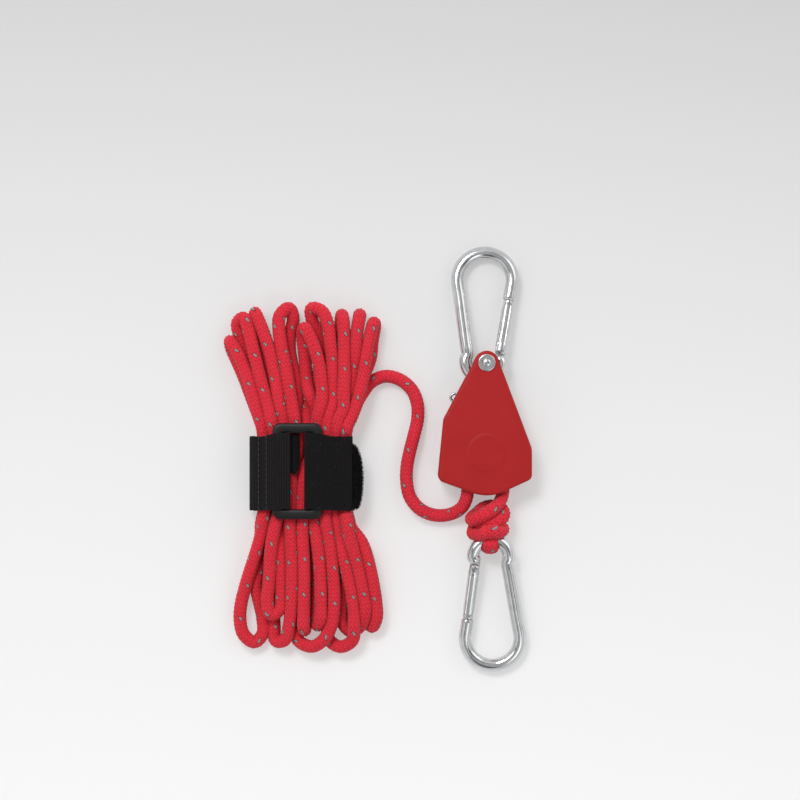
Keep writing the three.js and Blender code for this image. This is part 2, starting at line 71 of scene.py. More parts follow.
class Nodes:
    """Short ways to wire up one node tree."""

    def __init__(self, tree):
        self.tree = tree

    def put(self, socket, value):
        if isinstance(value, bpy.types.NodeSocket):
            self.tree.links.new(value, socket)
        else:
            colour = socket.type == "RGBA" and len(value) == 3
            socket.default_value = (*value, 1) if colour else value

    def add(self, kind, inputs=None, **settings):
        node = self.tree.nodes.new(kind)
        for key, value in settings.items():
            setattr(node, key, value)
        for key, value in (inputs or {}).items():
            self.put(node.inputs[key], value)
        return node

    def math(self, operation, *values):
        return self.add("ShaderNodeMath", dict(enumerate(values)), operation=operation).outputs[0]

    def scaled(self, value, by, plus=0.0):
        return self.math("MULTIPLY_ADD", value, by, plus)

    def zigzag(self, value):
        """Up to 1 halfway between whole numbers, and down to 0 at each."""
        return self.scaled(self.math("PINGPONG", value, 0.5), 2)

    def here(self):
        return self.add("ShaderNodeTexCoord").outputs["Object"]

    def along_and_across(self):
        route = self.add("ShaderNodeUVMap", uv_map="route").outputs[0]
        place = self.add("ShaderNodeSeparateXYZ", {0: route})
        return place.outputs["X"], place.outputs["Y"]

    def noise(self, vector, scale, detail=3.0, roughness=0.5):
        inputs = {"Vector": vector, "Scale": scale, "Detail": detail, "Roughness": roughness}
        return self.add("ShaderNodeTexNoise", inputs).outputs["Fac"]

    def ramp(self, factor, *stops):
        node = self.add("ShaderNodeValToRGB", {"Fac": factor})
        while len(node.color_ramp.elements) < len(stops):
            node.color_ramp.elements.new(0.5)
        for element, (place, colour) in zip(node.color_ramp.elements, stops):
            element.position = place
            element.color = (*colour, 1)
        return node.outputs["Color"]

    def mix(self, factor, first, second):
        return self.add("ShaderNodeMix", {0: factor, 6: first, 7: second}, data_type="RGBA").outputs[2]

    def bumped(self, height, strength, distance):
        inputs = {"Height": height, "Strength": strength, "Distance": distance}
        return self.add("ShaderNodeBump", inputs).outputs["Normal"]


def grey(level):
    return (level, level, level)


world = bpy.data.worlds.new("light_tent")
world.use_nodes = True
n = Nodes(world.node_tree)
n.tree.nodes.clear()
where = n.add("ShaderNodeTexCoord").outputs["Generated"]
height = n.add("ShaderNodeSeparateXYZ", {0: where}).outputs["Z"]
tent = n.ramp(height, *[(z, grey(level)) for z, level in (
    (0, 1.1), (0.25, 0.7), (0.6, 0.9), (0.8, 1.0), (0.86, 0.22), (0.9, 0.2), (0.95, 0.7), (1, 0.5))])
for direction, low, high, level in (
        ((-0.62, 0.42, 0.95), 0.90, 0.945, 0.2), ((-0.62, 0.42, 0.95), 0.965, 0.982, 3.4),
        ((0.42, -0.2, 0.95), 0.962, 0.985, 0.04), ((-0.1, -0.62, 0.72), 0.95, 0.985, 0.12),
        ((0.75, 0.55, 0.6), 0.93, 0.98, 1.9)):
    toward = n.add("ShaderNodeVectorMath", {0: where, 1: Vector(direction).normalized()},
                   operation="DOT_PRODUCT")
    patch = n.add("ShaderNodeMapRange", {"Value": toward.outputs["Value"], "From Min": low,
                                         "From Max": high}, interpolation_type="SMOOTHSTEP")
    tent = n.mix(patch.outputs["Result"], tent, grey(level))
background = n.add("ShaderNodeBackground", {"Color": tent, "Strength": 0.86})
n.add("ShaderNodeOutputWorld", {"Surface": background.outputs[0]})
scene.world = world


def new_material(name, **constants):
    material = bpy.data.materials.new(name)
    material.use_nodes = True
    n = Nodes(material.node_tree)
    shader = n.tree.nodes["Principled BSDF"]
    for key, value in constants.items():
        shader.inputs[key.replace("_", " ")].default_value = value
    return material, n, shader


def wire_up(n, shader, **sockets):
    for key, socket in sockets.items():
        n.tree.links.new(socket, shader.inputs[key.replace("_", " ")])


def mesh_object(name, points, faces, material, uvs=None, place=AS_DRAWN):
    """A mesh with its place in its own points, which are given in millimetres."""
    turn, shift = np.array(place)[:3, :3], np.array(place)[:3, 3]
    mesh = bpy.data.meshes.new(name)
    mesh.from_pydata(((np.array(points, float) @ turn.T + shift) * MM).tolist(), [], faces)
    if uvs is not None:
        layer = mesh.uv_layers.new(name="route")
        layer.data.foreach_set("uv", np.asarray(uvs, np.float32).ravel())
    mesh.validate()
    mesh.materials.append(material)
    piece = bpy.data.objects.new(name, mesh)
    scene.collection.objects.link(piece)
    return piece


def arc(cx, cy, radius, start, end, count=5):
    turn = np.radians(np.linspace(start, end, count))
    return [(cx + radius * math.cos(a), cy + radius * math.sin(a)) for a in turn]


def raised(outline, z=0.0):
    """A flat outline's points at one height."""
    return np.column_stack([outline, np.full(len(outline), z)])


def skin_faces(count, size, joined=False):
    """The quads between rings of points; the last ring may join the first."""
    low = np.arange(count if joined else count - 1)[:, None] * size
    high, j = (low + size) % (count * size), np.arange(size)[None]
    k = (j + 1) % size
    return np.stack([low + j, low + k, high + k, high + j], axis=-1).reshape(-1, 4).tolist()


def end_fans(count, size):
    """The triangles from the first and the last ring to a tip each, the tips being the last two points."""
    tip, last, pairs = count * size, (count - 1) * size, [(j, (j + 1) % size) for j in range(size)]
    return [(tip, k, j) for j, k in pairs] + [(tip + 1, last + j, last + k) for j, k in pairs]


def loft(name, rows, material, tips=None, joined=False, texture=None, place=AS_DRAWN):
    """A closed skin over rings of points, with flat ends, two tips or joined ends."""
    rows = np.asarray(rows, float)
    count, size = rows.shape[:2]
    points, faces = rows.reshape(-1, 3), skin_faces(count, size, joined)
    if tips is not None:
        points = np.vstack([points, tips])
        faces += end_fans(count, size)
    elif not joined:
        faces += [list(range(size))[::-1], [(count - 1) * size + j for j in range(size)]]
    uvs = None if texture is None else [texture[k] for face in faces for k in face]
    return mesh_object(name, points, faces, material, uvs, place)


def smooth(piece, angle):
    mesh = piece.data
    mesh.polygons.foreach_set("use_smooth", [True] * len(mesh.polygons))
    mesh.set_sharp_from_angle(angle=math.radians(angle))
    return piece


# Painted light: the table glows to lift the shadows and soften the red bounce, and its glow and colour are
# painted darker towards +Y, the far edge, as painted light falloff.
table_top, n, shader = new_material("table_with_painted_glow_and_falloff", Roughness=0.75, Emission_Strength=0.46)
across = n.here()
falloff_share = n.add("ShaderNodeMapRange", {"Value": n.add("ShaderNodeSeparateXYZ", {0: across}).outputs["Y"],
                                     "From Min": -0.17, "From Max": 0.23}).outputs["Result"]
painted_falloff = n.ramp(falloff_share, (0.0, grey(0.865)), (0.45, grey(0.76)), (0.75, grey(0.665)), (1, grey(0.565)))
grain = n.noise(across, 900, 4)
wire_up(n, shader, Emission_Color=n.mix(n.scaled(grain, 0.05), painted_falloff, grey(0.6)),
        Base_Color=n.mix(0.4, painted_falloff, grey(0.0)), Normal=n.bumped(grain, 0.05, 0.0002))
REACH = 3000  # mm, from the middle to each edge
table = mesh_object("table", [(-REACH, -REACH, 0), (REACH, -REACH, 0), (REACH, REACH, 0), (-REACH, REACH, 0)],
                    [(0, 1, 2, 3)], table_top)


# ---- The spare rope: the lead out of the housing and the folded hank ----
# A 6.3 mm braided polyester rope, red with one grey-green tracer yarn. The lead leaves the housing's
# mouth, lies on the table, and is then folded to and fro, nine times each way, and bound at the waist.
ROPE_R = 3.15
STITCH = 2.1  # mm, braid pitch along the rope
STITCHES_ROUND = 10
TRACER_TURN = 17.6  # mm of rope for one turn of the tracer yarn
FLECK_LONG, FLECK_SHORT, FLECK_LEAN = 1.2, 0.52, -0.62  # half sizes in mm, and radians


def route(points, step):
    """A smooth line through the points, with points a step apart."""
    p = np.array(points, float)
    p = np.vstack([2 * p[0] - p[1], p, 2 * p[-1] - p[-2]])
    knots = np.concatenate([[0], np.cumsum(np.sqrt(np.linalg.norm(np.diff(p, axis=0), axis=1)))])
    line = []
    for i in range(1, len(p) - 2):
        k = knots[i - 1:i + 3]
        t = np.linspace(k[1], k[2], 16, endpoint=False)[:, None]

        def blend(first, second, start, end):
            return ((end - t) * first + (t - start) * second) / (end - start)

        a = [blend(p[i + m - 1], p[i + m], k[m], k[m + 1]) for m in range(3)]
        b = [blend(a[m], a[m + 1], k[m], k[m + 2]) for m in range(2)]
        line.append(blend(*b, k[1], k[2]))
    return spaced(np.vstack([*line, p[-2:-1]]), step)


def spaced(line, step):
    along = np.concatenate([[0], np.cumsum(np.linalg.norm(np.diff(line, axis=0), axis=1))])
    at = np.linspace(0, along[-1], max(2, round(along[-1] / step) + 1))
    return np.stack([np.interp(at, along, line[:, k]) for k in range(3)], axis=1)


def settle(line, apart, hold, limits, rounds):
    """Strands that press into each other move apart, and each stays near its own way."""
    p, home = line.copy(), line.copy()
    number = np.arange(len(p))
    for turn in range(rounds):
        if turn % 4 == 0:
            gap = np.linalg.norm(p[:, None] - p[None], axis=2)
            first, second = np.where((gap < apart + 2.5) & (number[None] - number[:, None] > 3))
        between = p[first] - p[second]
        far = np.linalg.norm(between, axis=1).clip(0.2)
        push = (np.maximum(apart - far, 0) * 0.32 / far)[:, None] * between
        move = np.zeros_like(p)
        np.add.at(move, first, push)
        np.add.at(move, second, -push)
        p += np.clip(move, -0.8, 0.8)
        loose = (1 - hold[1:-1, None]).clip(0)
        p[1:-1] += 0.06 * loose * (p[:-2] + p[2:] - 2 * p[1:-1])
        p += hold[:, None] * (home - p)
        p = limits(p)
    return p


def frames(line):
    """Tangent and two directions across, carried along the line without twist."""
    tangent = np.gradient(line, axis=0)
    tangent /= np.linalg.norm(tangent, axis=1)[:, None]
    across = np.zeros_like(line)
    side = np.cross(tangent[0], (0, 0, 1.0))
    side = side if np.linalg.norm(side) > 0.1 else np.cross(tangent[0], (0, 1.0, 0))
    for i, t in enumerate(tangent):
        side = side - t * (side @ t)
        side /= np.linalg.norm(side)
        across[i] = side
    return tangent, across, np.cross(tangent, across)


def tube(name, line, radius, sides, material, relief=lambda ring, side: 0, twist=0.0, flatten=(1, 1)):
    """A closed round bar along a line of points; radius is one number or one each, and flatten gives its
    width along X and across X."""
    count = len(line)
    step = np.concatenate([[0], np.cumsum(np.linalg.norm(np.diff(line, axis=0), axis=1))])
    _, across, up = frames(line)
    r = np.broadcast_to(np.asarray(radius, float), (count,))[:, None].repeat(sides, 1)
    r = r + relief(np.arange(count)[:, None], np.arange(sides)[None])
    angle = 2 * np.pi * np.arange(sides) / sides + twist * step[:, None]
    out = (r * np.cos(angle))[..., None] * across[:, None] + (r * np.sin(angle))[..., None] * up[:, None]
    wide, high = (np.reshape(f, (-1, 1, 1)) for f in flatten)
    out = out * np.where(np.arange(3) == 0, wide, high)
    points = np.vstack([(line[:, None] + out).reshape(-1, 3), line[:1], line[-1:]])
    edges = np.arange(sides + 1) / sides
    uvs = [corner for low, high in zip(step, step[1:]) for u, w in zip(edges, edges[1:])
           for corner in ((u, low), (w, low), (w, high), (u, high))]
    uvs += [(0.5, step[0])] * 3 * sides + [(0.5, step[-1])] * 3 * sides
    return mesh_object(name, points, skin_faces(count, sides) + end_fans(count, sides), material, uvs)


def rope_finish():
    material, n, shader = new_material("braided_rope", Roughness=0.82, Sheen_Weight=0.14, Sheen_Roughness=0.6,
                                       Sheen_Tint=(1, 0.55, 0.55, 1), Specular_IOR_Level=0.25)
    u, v = n.along_and_across()
    strand = n.scaled(u, 2 * STITCHES_ROUND)
    ridge = n.zigzag(n.scaled(v, 1 / STITCH, n.scaled(n.math("PINGPONG", strand, 1.0), 0.7)))
    relief = n.scaled(n.math("POWER", ridge, 0.6), n.scaled(n.zigzag(strand), 0.45, 0.55))
    here = n.here()
    fuzz = n.noise(here, 2600, 3, 0.7)
    # Painted shade and highlight: the red follows the braid relief, darker in the gaps between strands as
    # painted shade and lighter on the strand crowns as painted highlight.
    red = n.ramp(relief, (0.0, (0.17, 0.003, 0.009)), (0.35, (0.66, 0.012, 0.030)), (1, (0.93, 0.030, 0.058)))
    red = n.mix(n.scaled(fuzz, 0.8, -0.24), red, (0.50, 0.007, 0.02))
    red = n.mix(n.scaled(n.noise(here, 120, 2), 0.25), red, (0.86, 0.045, 0.075))
    quarter, quarter_round = n.scaled(u, 4.0), 0.5 * math.pi * ROPE_R
    round_mm = n.scaled(n.math("FRACT", quarter), quarter_round, -quarter_round / 2)
    turns = n.scaled(v, 1 / TRACER_TURN, n.scaled(n.math("FLOOR", quarter), -0.25))
    along_mm = n.scaled(n.math("FRACT", turns), TRACER_TURN, -TRACER_TURN / 2)
    lean_cos, lean_sin = math.cos(FLECK_LEAN), math.sin(FLECK_LEAN)
    long_way = n.scaled(along_mm, lean_cos / FLECK_LONG, n.scaled(round_mm, lean_sin / FLECK_LONG))
    short_way = n.scaled(round_mm, lean_cos / FLECK_SHORT, n.scaled(along_mm, -lean_sin / FLECK_SHORT))
    spot = n.scaled(long_way, long_way, n.scaled(short_way, short_way))
    colour = n.mix(n.scaled(n.math("LESS_THAN", spot, 1.9), 0.85), red, (0.10, 0.008, 0.012))
    grey_green = n.mix(fuzz, (0.11, 0.13, 0.125), (0.42, 0.46, 0.44))
    wire_up(n, shader, Base_Color=n.mix(n.math("LESS_THAN", spot, 0.95), colour, grey_green),
            Normal=n.bumped(n.scaled(fuzz, 0.35, relief), 0.95, 0.00035))
    return material


braided_rope = rope_finish()


def braid_relief(ring, side):
    """Every other crossing of the braid stands proud."""
    return np.where((ring + side) % 2 == 0, 0.19, -0.19)


def rope(name, line, section=lambda fine: (1, 1)):
    fine = spaced(line, STITCH / 2)
    ends = np.minimum(np.arange(len(fine)), np.arange(len(fine))[::-1])
    radius = ROPE_R * np.sqrt(1 - np.clip(1 - ends / 3, 0, 0.93) ** 2)
    piece = tube(name, fine, radius, 2 * STITCHES_ROUND, braided_rope, braid_relief, 0.012, section(fine))
    return smooth(piece, 180), fine * MM


# The hank's folds, in the order in which the rope runs through them: a lower fold, and then the upper
# fold that follows it. The leg from the strap out to the turn lies on top, and the leg back lies under it.
UPPER_FOLDS = {
    "outer_right": [(-69.2, 16, 11.2), (-66.8, 23, 11.3), (-64, 32, 11.2), (-61.4, 43, 10.8),
        (-58.8, 55, 10.2), (-56.1, 66.2, 9), (-54.4, 70.8, 6.4), (-55.6, 64, 4), (-56.6, 55, 3.4),
        (-56.8, 49, 3.3), (-59.6, 42, 3.3), (-63.6, 34, 3.6), (-67.4, 24, 4.6), (-69.4, 16, 5.1)],
    "right": [(-69.6, 16, 7.2), (-67.4, 28, 8), (-65.9, 42.3, 9.4), (-64.4, 58, 10.4), (-62.7, 71, 8.8),
        (-62, 74.8, 6), (-63.4, 67, 3.6), (-66.4, 52, 3.3), (-69, 38, 3.6), (-70.6, 24, 5),
        (-70.6, 16, 5.1)],
    "right_middle": [(-70, 16, 11.2), (-68.9, 30.2, 11.2), (-69.1, 48.3, 11.1), (-70.2, 62, 10.6),
        (-71, 71.8, 8.8), (-71.4, 74.8, 6), (-72, 68, 3.6), (-72.6, 52, 3.3), (-74, 36, 3.6),
        (-75.5, 24, 5), (-76, 16, 5.1)],
    "wide_arch": [(-74.3, 16, 11.3), (-74.6, 30, 11.3), (-75.4, 44, 11.2), (-77.2, 59, 11),
        (-79.2, 70.8, 10.6), (-84, 77, 9.2), (-88.4, 74.2, 7), (-86, 69, 5), (-82.6, 62, 3.8),
        (-82, 53, 3.5), (-84.6, 38, 3.6), (-87.4, 25, 4.9), (-88, 16, 5.1)],
    "over_middle": [(-79.6, 16, 11.4), (-79.8, 28, 11.6), (-80.8, 38, 11.9), (-83, 49, 12.4),
        (-86.4, 59.4, 12.6), (-90, 66.4, 11.2), (-91.6, 66.6, 8.4), (-90.8, 60, 5.6), (-89.8, 48, 4.4),
        (-87.2, 34, 4.6), (-84.6, 22, 5), (-84.6, 16, 5.1)],
    "arch": [(-96.4, 16, 11.2), (-96.9, 24, 11.3), (-98.6, 37.4, 11.3), (-101.3, 54.4, 11),
        (-103, 67.8, 10.2), (-101.6, 74.6, 9.4), (-98, 76.6, 8.4), (-95, 73.2, 6.6), (-96.8, 66.6, 4.8),
        (-98, 58, 3.7), (-96.6, 48, 3.5), (-93.8, 37, 3.6), (-92.2, 26, 4.8), (-92.1, 16, 5.1)],
    "left_middle": [(-101.2, 16, 11.1), (-102.2, 29, 11.2), (-104.8, 45.3, 11), (-109.4, 60.4, 10.4),
        (-113.8, 71.4, 8.6), (-115.6, 75, 6), (-114, 68.4, 3.6), (-110.6, 54, 3.3), (-107, 38, 3.6),
        (-102.6, 24, 5), (-100.6, 16, 5.1)],
    "left": [(-106.2, 16, 11), (-107.8, 23, 11.1), (-110.9, 36, 11), (-115.3, 53.7, 10.4),
        (-118.2, 66, 9.4), (-120.8, 72.2, 7.6), (-123.8, 70.8, 5.4), (-123, 62, 3.8), (-118, 48, 3.3),
        (-112, 34, 3.6), (-107.4, 24, 5), (-106, 16, 5.1)],
    "outer_left": [(-110.4, 16, 11), (-114.4, 28.9, 10.8), (-118.2, 41.6, 9.8), (-122.4, 51, 8.4),
        (-127, 58.4, 7.2), (-128.5, 60.9, 5.2), (-126.8, 57.2, 3.4), (-121.2, 46, 3.3), (-116.4, 32, 3.6),
        (-112.4, 22, 5), (-110.4, 16, 5.1)],
}
LOWER_FOLDS = {
    "outer_right": [(-69, -28, 10.6), (-66.2, -35, 10.8), (-63, -41, 10.6), (-58.9, -50.4, 10),
        (-56.6, -60.6, 9.2), (-54.7, -72, 8.2), (-55, -81.4, 6.8), (-57.2, -85.4, 5.2), (-59.8, -80, 3.6),
        (-61.8, -68, 3.2), (-64.8, -52, 3.5), (-67.8, -38, 4.8), (-69.2, -28, 5.1)],
    "right": [(-69.4, -28, 11.2), (-67.2, -40, 11.1), (-64.2, -50, 10.8), (-61.4, -64, 10.2),
        (-59.6, -75, 9), (-60.4, -81.6, 6.6), (-66, -87, 4.2), (-70.6, -85.4, 3.5), (-71.4, -76, 3.5),
        (-71, -62, 3.5), (-71.8, -48, 3.6), (-73, -36, 4.8), (-73.5, -28, 5.1)],
    "wide_right": [(-72.8, -28, 11.2), (-70.8, -42, 11.1), (-68.2, -54.8, 10.8), (-65.4, -70, 9.9),
        (-63.6, -81.2, 8.8), (-65.4, -90, 7.2), (-71.2, -94.3, 5.6), (-77.4, -92.3, 4.4), (-79.8, -86, 3.5),
        (-79.4, -73, 3.2), (-79, -58, 3.2), (-79, -44, 3.8), (-79.5, -36, 4.8), (-79.5, -28, 5.1)],
    "wide_middle": [(-77.2, -28, 11.2), (-76.7, -42, 11.1), (-76, -54.8, 10.9), (-75.2, -68, 10.3),
        (-76.2, -81.2, 9.2), (-80, -90.2, 7.8), (-86, -94.1, 6.4), (-91.8, -92.5, 5), (-95, -87.2, 3.7),
        (-95, -76, 3.2), (-94.6, -60, 3.2), (-94, -44, 3.6), (-93.5, -36, 4.8), (-93.5, -28, 5.1)],
    "short_middle": [(-83.5, -28, 11.2), (-83, -42, 11.3), (-82.2, -56, 11.1), (-81.8, -70, 10.6),
        (-82.2, -80.4, 9.4), (-83, -85.2, 7), (-83.6, -79, 4.4), (-84, -62, 3.4), (-84.4, -44, 3.8),
        (-84.8, -36, 4.8), (-84.8, -28, 5.1)],
    "middle": [(-91.3, -28, 11.2), (-91, -42, 11.3), (-90.6, -56, 11), (-90.4, -72, 10.6),
        (-90.4, -83.4, 9.4), (-90.6, -88.4, 7), (-90, -82, 4.4), (-89.2, -64, 3.4), (-88.6, -46, 3.8),
        (-88.3, -36, 4.8), (-88.3, -28, 5.1)],
    "left_middle": [(-96.7, -28, 11.2), (-96.7, -37.6, 11.3), (-96.5, -54, 10.8), (-96.8, -69.2, 10),
        (-97.4, -81.8, 8.8), (-99.4, -90.4, 7.2), (-103, -93.2, 5.4), (-106, -89.4, 4), (-105.8, -78, 3.3),
        (-103, -60, 3.3), (-100, -45, 3.8), (-98.5, -36, 4.8), (-98.5, -28, 5.1)],
    "narrow": [(-103, -28, 11.2), (-105.3, -43.3, 11.1), (-107.1, -58, 10.4), (-108.6, -70, 9.4),
        (-108, -77.2, 8.8), (-104.6, -79.6, 8.4), (-102, -73, 8.2), (-101, -60, 7.6), (-101.3, -47, 6.4),
        (-103.3, -36, 5.4), (-104.5, -28, 5.1)],
    "outer_left": [(-109.4, -28, 11), (-111.4, -37, 10.4), (-113.6, -45, 9.2), (-117.6, -57.7, 7.2),
        (-121.3, -69.2, 6), (-122.6, -79.8, 5.4), (-120.8, -88.2, 4.9), (-115.6, -92.4, 4.4),
        (-110.4, -89.2, 3.9), (-110.6, -79, 3.4), (-114.4, -66.3, 3.3), (-113.8, -54.8, 3.6),
        (-110.8, -40, 4.6), (-109.6, -28, 5.1)],
}
LEAD = [
    (-8.6, -10, 9), (-8.7, -17.6, 9), (-8.9, -19.6, 8.7), (-10, -22.4, 7.6), (-12.4, -25, 5.8),
    (-16, -27.2, 4.2), (-20.8, -28.2, 3.2), (-26.8, -27.7, 3.2), (-32.7, -24.7, 3.2), (-37.1, -19.3, 3.2),
    (-38.9, -12, 3.2), (-38.9, -4.3, 3.2), (-37.2, 4.6, 3.2), (-34.9, 13.6, 3.2), (-33.4, 20.6, 3.2),
    (-33.6, 27.6, 3.2), (-36, 34.2, 3.2), (-40.8, 39, 3.2), (-46.8, 41.2, 3.2), (-51.8, 41.4, 3.2),
    (-56, 39.2, 3.4), (-60, 34.6, 4.2), (-63.6, 28.8, 5.6), (-66.6, 22.4, 7), (-68.8, 16, 7.6),
]
HANK_TAIL = [(-108, -28, 5.1), (-105.5, -38, 3.8), (-103.4, -50, 3.2), (-102, -60, 3.2)]


def hank_route():
    way = list(LEAD)
    for (name, below), above in zip(LOWER_FOLDS.items(), UPPER_FOLDS.values()):
        way += below[::-1] if name == "middle" else below
        way += above[::-1]
    return way + HANK_TAIL


def inside_the_strap(p):
    under_strap = (p[:, 1] > -26) & (p[:, 1] < 12.5)
    low = np.where(under_strap, 5.05, ROPE_R + 0.3)
    high = np.where(under_strap, 11.4, 13.4)
    p[:, 2] = np.clip(p[:, 2], low, high)
    beyond = np.clip(np.abs(p[:, 1] + 6.8) - 21, 0, None)
    waist = (beyond < 8) & (p[:, 0] < -60)
    drawn_in = np.clip(p[:, 0], -110.2 - 0.45 * beyond, -69.6 + 0.45 * beyond)
    p[:, 0] = np.where(waist, drawn_in, p[:, 0])
    return p


hank_line = route(hank_route(), 2.6)
lead_share = np.arange(len(hank_line)) * 2.6 < 172
at_turns = (hank_line[:, 1] > 52) | (hank_line[:, 1] < -64)
hold = np.where(lead_share, 1, np.where(at_turns, 0.09, 0.03))
hank_line = settle(hank_line, 6.0, hold, inside_the_strap, 120)
hank_line = route(hank_line[::3], STITCH / 2)
hank_line[:, 2] = hank_line[:, 2].clip(ROPE_R + 0.2)
spare_rope, hank_path = rope("rope_spare_hank", hank_line)
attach(spare_rope, "housing")
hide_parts("rope_lead", "rope_hank")


# ---- The load line, its knot and the eye ----
# The same rope leaves the mouth on the load side, is tied in a doubled knot, and its bight passes
# round the small end of the lower snap hook. The end is buried in the knot.
KNOT_ROUTE = [
    (9.4, -10, 9), (9, -17, 9.4), (8, -20.4, 10.8), (5.4, -23.6, 13.4), (1.2, -26.6, 15), (-3, -29, 13.8),
    (-5.9, -30.4, 10.8), (-5.6, -29.6, 7), (-2.8, -26.8, 4.8), (-0.6, -24.6, 5), (2.6, -23.6, 5),
    (6.6, -23.8, 6), (9.1, -25.8, 8.6), (9, -28.6, 11.6), (6.4, -30.9, 13), (2.6, -31.8, 12.4),
    (-1.4, -32, 9.6), (-4.4, -33.6, 6.4), (-5.4, -36.4, 8), (-3.6, -37.5, 12.2), (0.6, -37.4, 15),
    (4.8, -36.6, 15), (8, -35.6, 12), (8.4, -34.8, 8), (5.8, -34.2, 5), (2.6, -34.4, 5.6), (1.8, -35.2, 9),
    (2.4, -37.4, 11.8), (2.7, -40.6, 14), (2.7, -43.4, 13.2), (2.7, -45, 10.8), (2.7, -45.1, 7.4),
    (2.7, -43.4, 4.4), (2.7, -40.6, 3.7), (2.4, -37.2, 3.8), (1.4, -33, 6), (1, -30, 8.6),
]


def knot_limits(p):
    p[:, 2] = np.clip(p[:, 2], 3.7, 16)
    return p


knot_line = route(KNOT_ROUTE, 1.6)
tied = (np.arange(len(knot_line)) > 4) & (knot_line[:, 1] > -37.5)
knot_line = settle(knot_line, 5.2, np.where(tied, 0.16, 0.9), knot_limits, 60)
knot_line = knot_limits(route(knot_line[::2], 0.5))


def pressed_in_eye(line):
    """The rope flattens against the wire that it passes round."""
    share = np.clip((-36 - line[:, 1]) / 4, 0, 1)
    knotted = np.clip((-22 - line[:, 1]) / 4, 0, 1)
    return 1 + 0.1 * knotted + 0.12 * share, 1 + 0.1 * knotted - 0.46 * share


load_rope, knot_path = rope("rope_load_line_and_knot", knot_line, pressed_in_eye)
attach(load_rope, "housing")
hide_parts("rope_load_line", "rope_knot", "rope_eye")


# ---- The rope inside the housing ----
# The held stretch of the same rope, up one side of the sheave, over it, and down to the load side.
held_way = [(-8.6, -13), (-8.6, -8), *arc(0.9, 3.4, 9.5, 180, 0, 13), (9.8, -8), (9.2, -13)]
held_line = route(raised(held_way, 9), STITCH / 2)
held_rope, _ = rope("rope_over_sheave_braid", held_line)
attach(held_rope, "housing")
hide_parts("rope_over_sheave")


# ---- The strap round the hank ----
# A 36 mm cinch strap of ribbed black webbing. One end is sewn round the buckle's left bar; the other
# passes the right bar and folds back, and its rounded end grips by hook pile.
STRAP_Y = (-25.1, 11.3)
STRAP_T = 1.6
RIB = 1.15  # mm between ribs


def webbing_finish(name, ribbed):
    material, n, shader = new_material(name, Roughness=0.92, Sheen_Weight=0.04, Sheen_Roughness=0.5,
                                       Specular_IOR_Level=0.12)
    along, over = n.along_and_across()
    ribs = n.scaled(along, 1 / RIB)
    pick = n.zigzag(n.scaled(over, 1 / 0.8, n.scaled(n.math("FLOOR", ribs), 0.5)))
    here = n.here()
    weave = n.math("MULTIPLY", n.math("POWER", n.zigzag(ribs), 0.7), n.scaled(pick, 0.4, 0.6))
    height = n.scaled(weave, ribbed, n.scaled(n.noise(here, 3000, 4, 0.7), 0.5))
    # Painted shade and highlight: the black follows the weave's height, darker in its hollows as painted
    # shade and lighter on the rib crowns as painted highlight.
    black = n.ramp(height, (0.1, (0.003, 0.0026, 0.0028)), (0.9, (0.011, 0.0095, 0.01)),
                   (1.3, (0.018, 0.0155, 0.0165)))
    lint = n.scaled(n.math("GREATER_THAN", n.noise(here, 1500, 2), 0.68), 0.35)
    wire_up(n, shader, Base_Color=n.mix(lint, black, (0.06, 0.055, 0.057)),
            Normal=n.bumped(height, 0.8, 0.0003))
    return material


ribbed_webbing = webbing_finish("ribbed_webbing", 1.0)
plain_webbing = webbing_finish("plain_webbing", 0.35)


def reworked(piece, *steps):
    """The piece's mesh taken through bmesh steps."""
    solid = bmesh.new()
    solid.from_mesh(piece.data)
    for step in steps:
        step(solid)
    solid.to_mesh(piece.data)
    solid.free()
    return piece


def faced_out(solid):
    bmesh.ops.recalc_face_normals(solid, faces=solid.faces)


def strip(name, path, material, thickness=STRAP_T, edges=lambda x: STRAP_Y, ribs=0.09):
    """Webbing along a path of [x, z] points, its width along Y."""
    line = route([(x, 0, z) for x, z in path], RIB / 2)
    tangent = np.gradient(line, axis=0)
    tangent /= np.linalg.norm(tangent, axis=1)[:, None]
    half = thickness / 2
    columns = np.linspace(0, 1, 25)
    profile = [(c, 0, half) for c in columns] + [(1, 0.16, half / 2), (1, 0.16, -half / 2)]
    profile += [(c, 0, -half) for c in columns[::-1]] + [(0, -0.16, -half / 2), (0, -0.16, half / 2)]
    rows, texture = [], []
    for i, (p, way) in enumerate(zip(line, tangent)):
        step = i * RIB / 2
        low, high = edges(p[0])
        wave = 0.12 * math.sin(step * 0.7) + 0.08 * math.sin(step * 1.9)
        rise = ribs if i % 2 else -ribs
        row = []
        for c, side, out in profile:
            y = low + (high - low) * c + side + wave * (2 * c - 1)
            lift = out + (rise if abs(out) == half else 0) * math.copysign(1, out)
            row.append((p[0] - way[2] * lift, y, p[2] + way[0] * lift))
            texture.append((step, y))
        rows.append(row)
    return smooth(reworked(loft(name, rows, material, texture=texture), faced_out), 50)


def edge_rise(x):
    """The strap's edges draw apart a little towards the buckle."""
    near = math.exp(-((x + 93.3) / 14.5) ** 6)
    return STRAP_Y[0] + 0.7 * near, STRAP_Y[1] + 2.0 * near


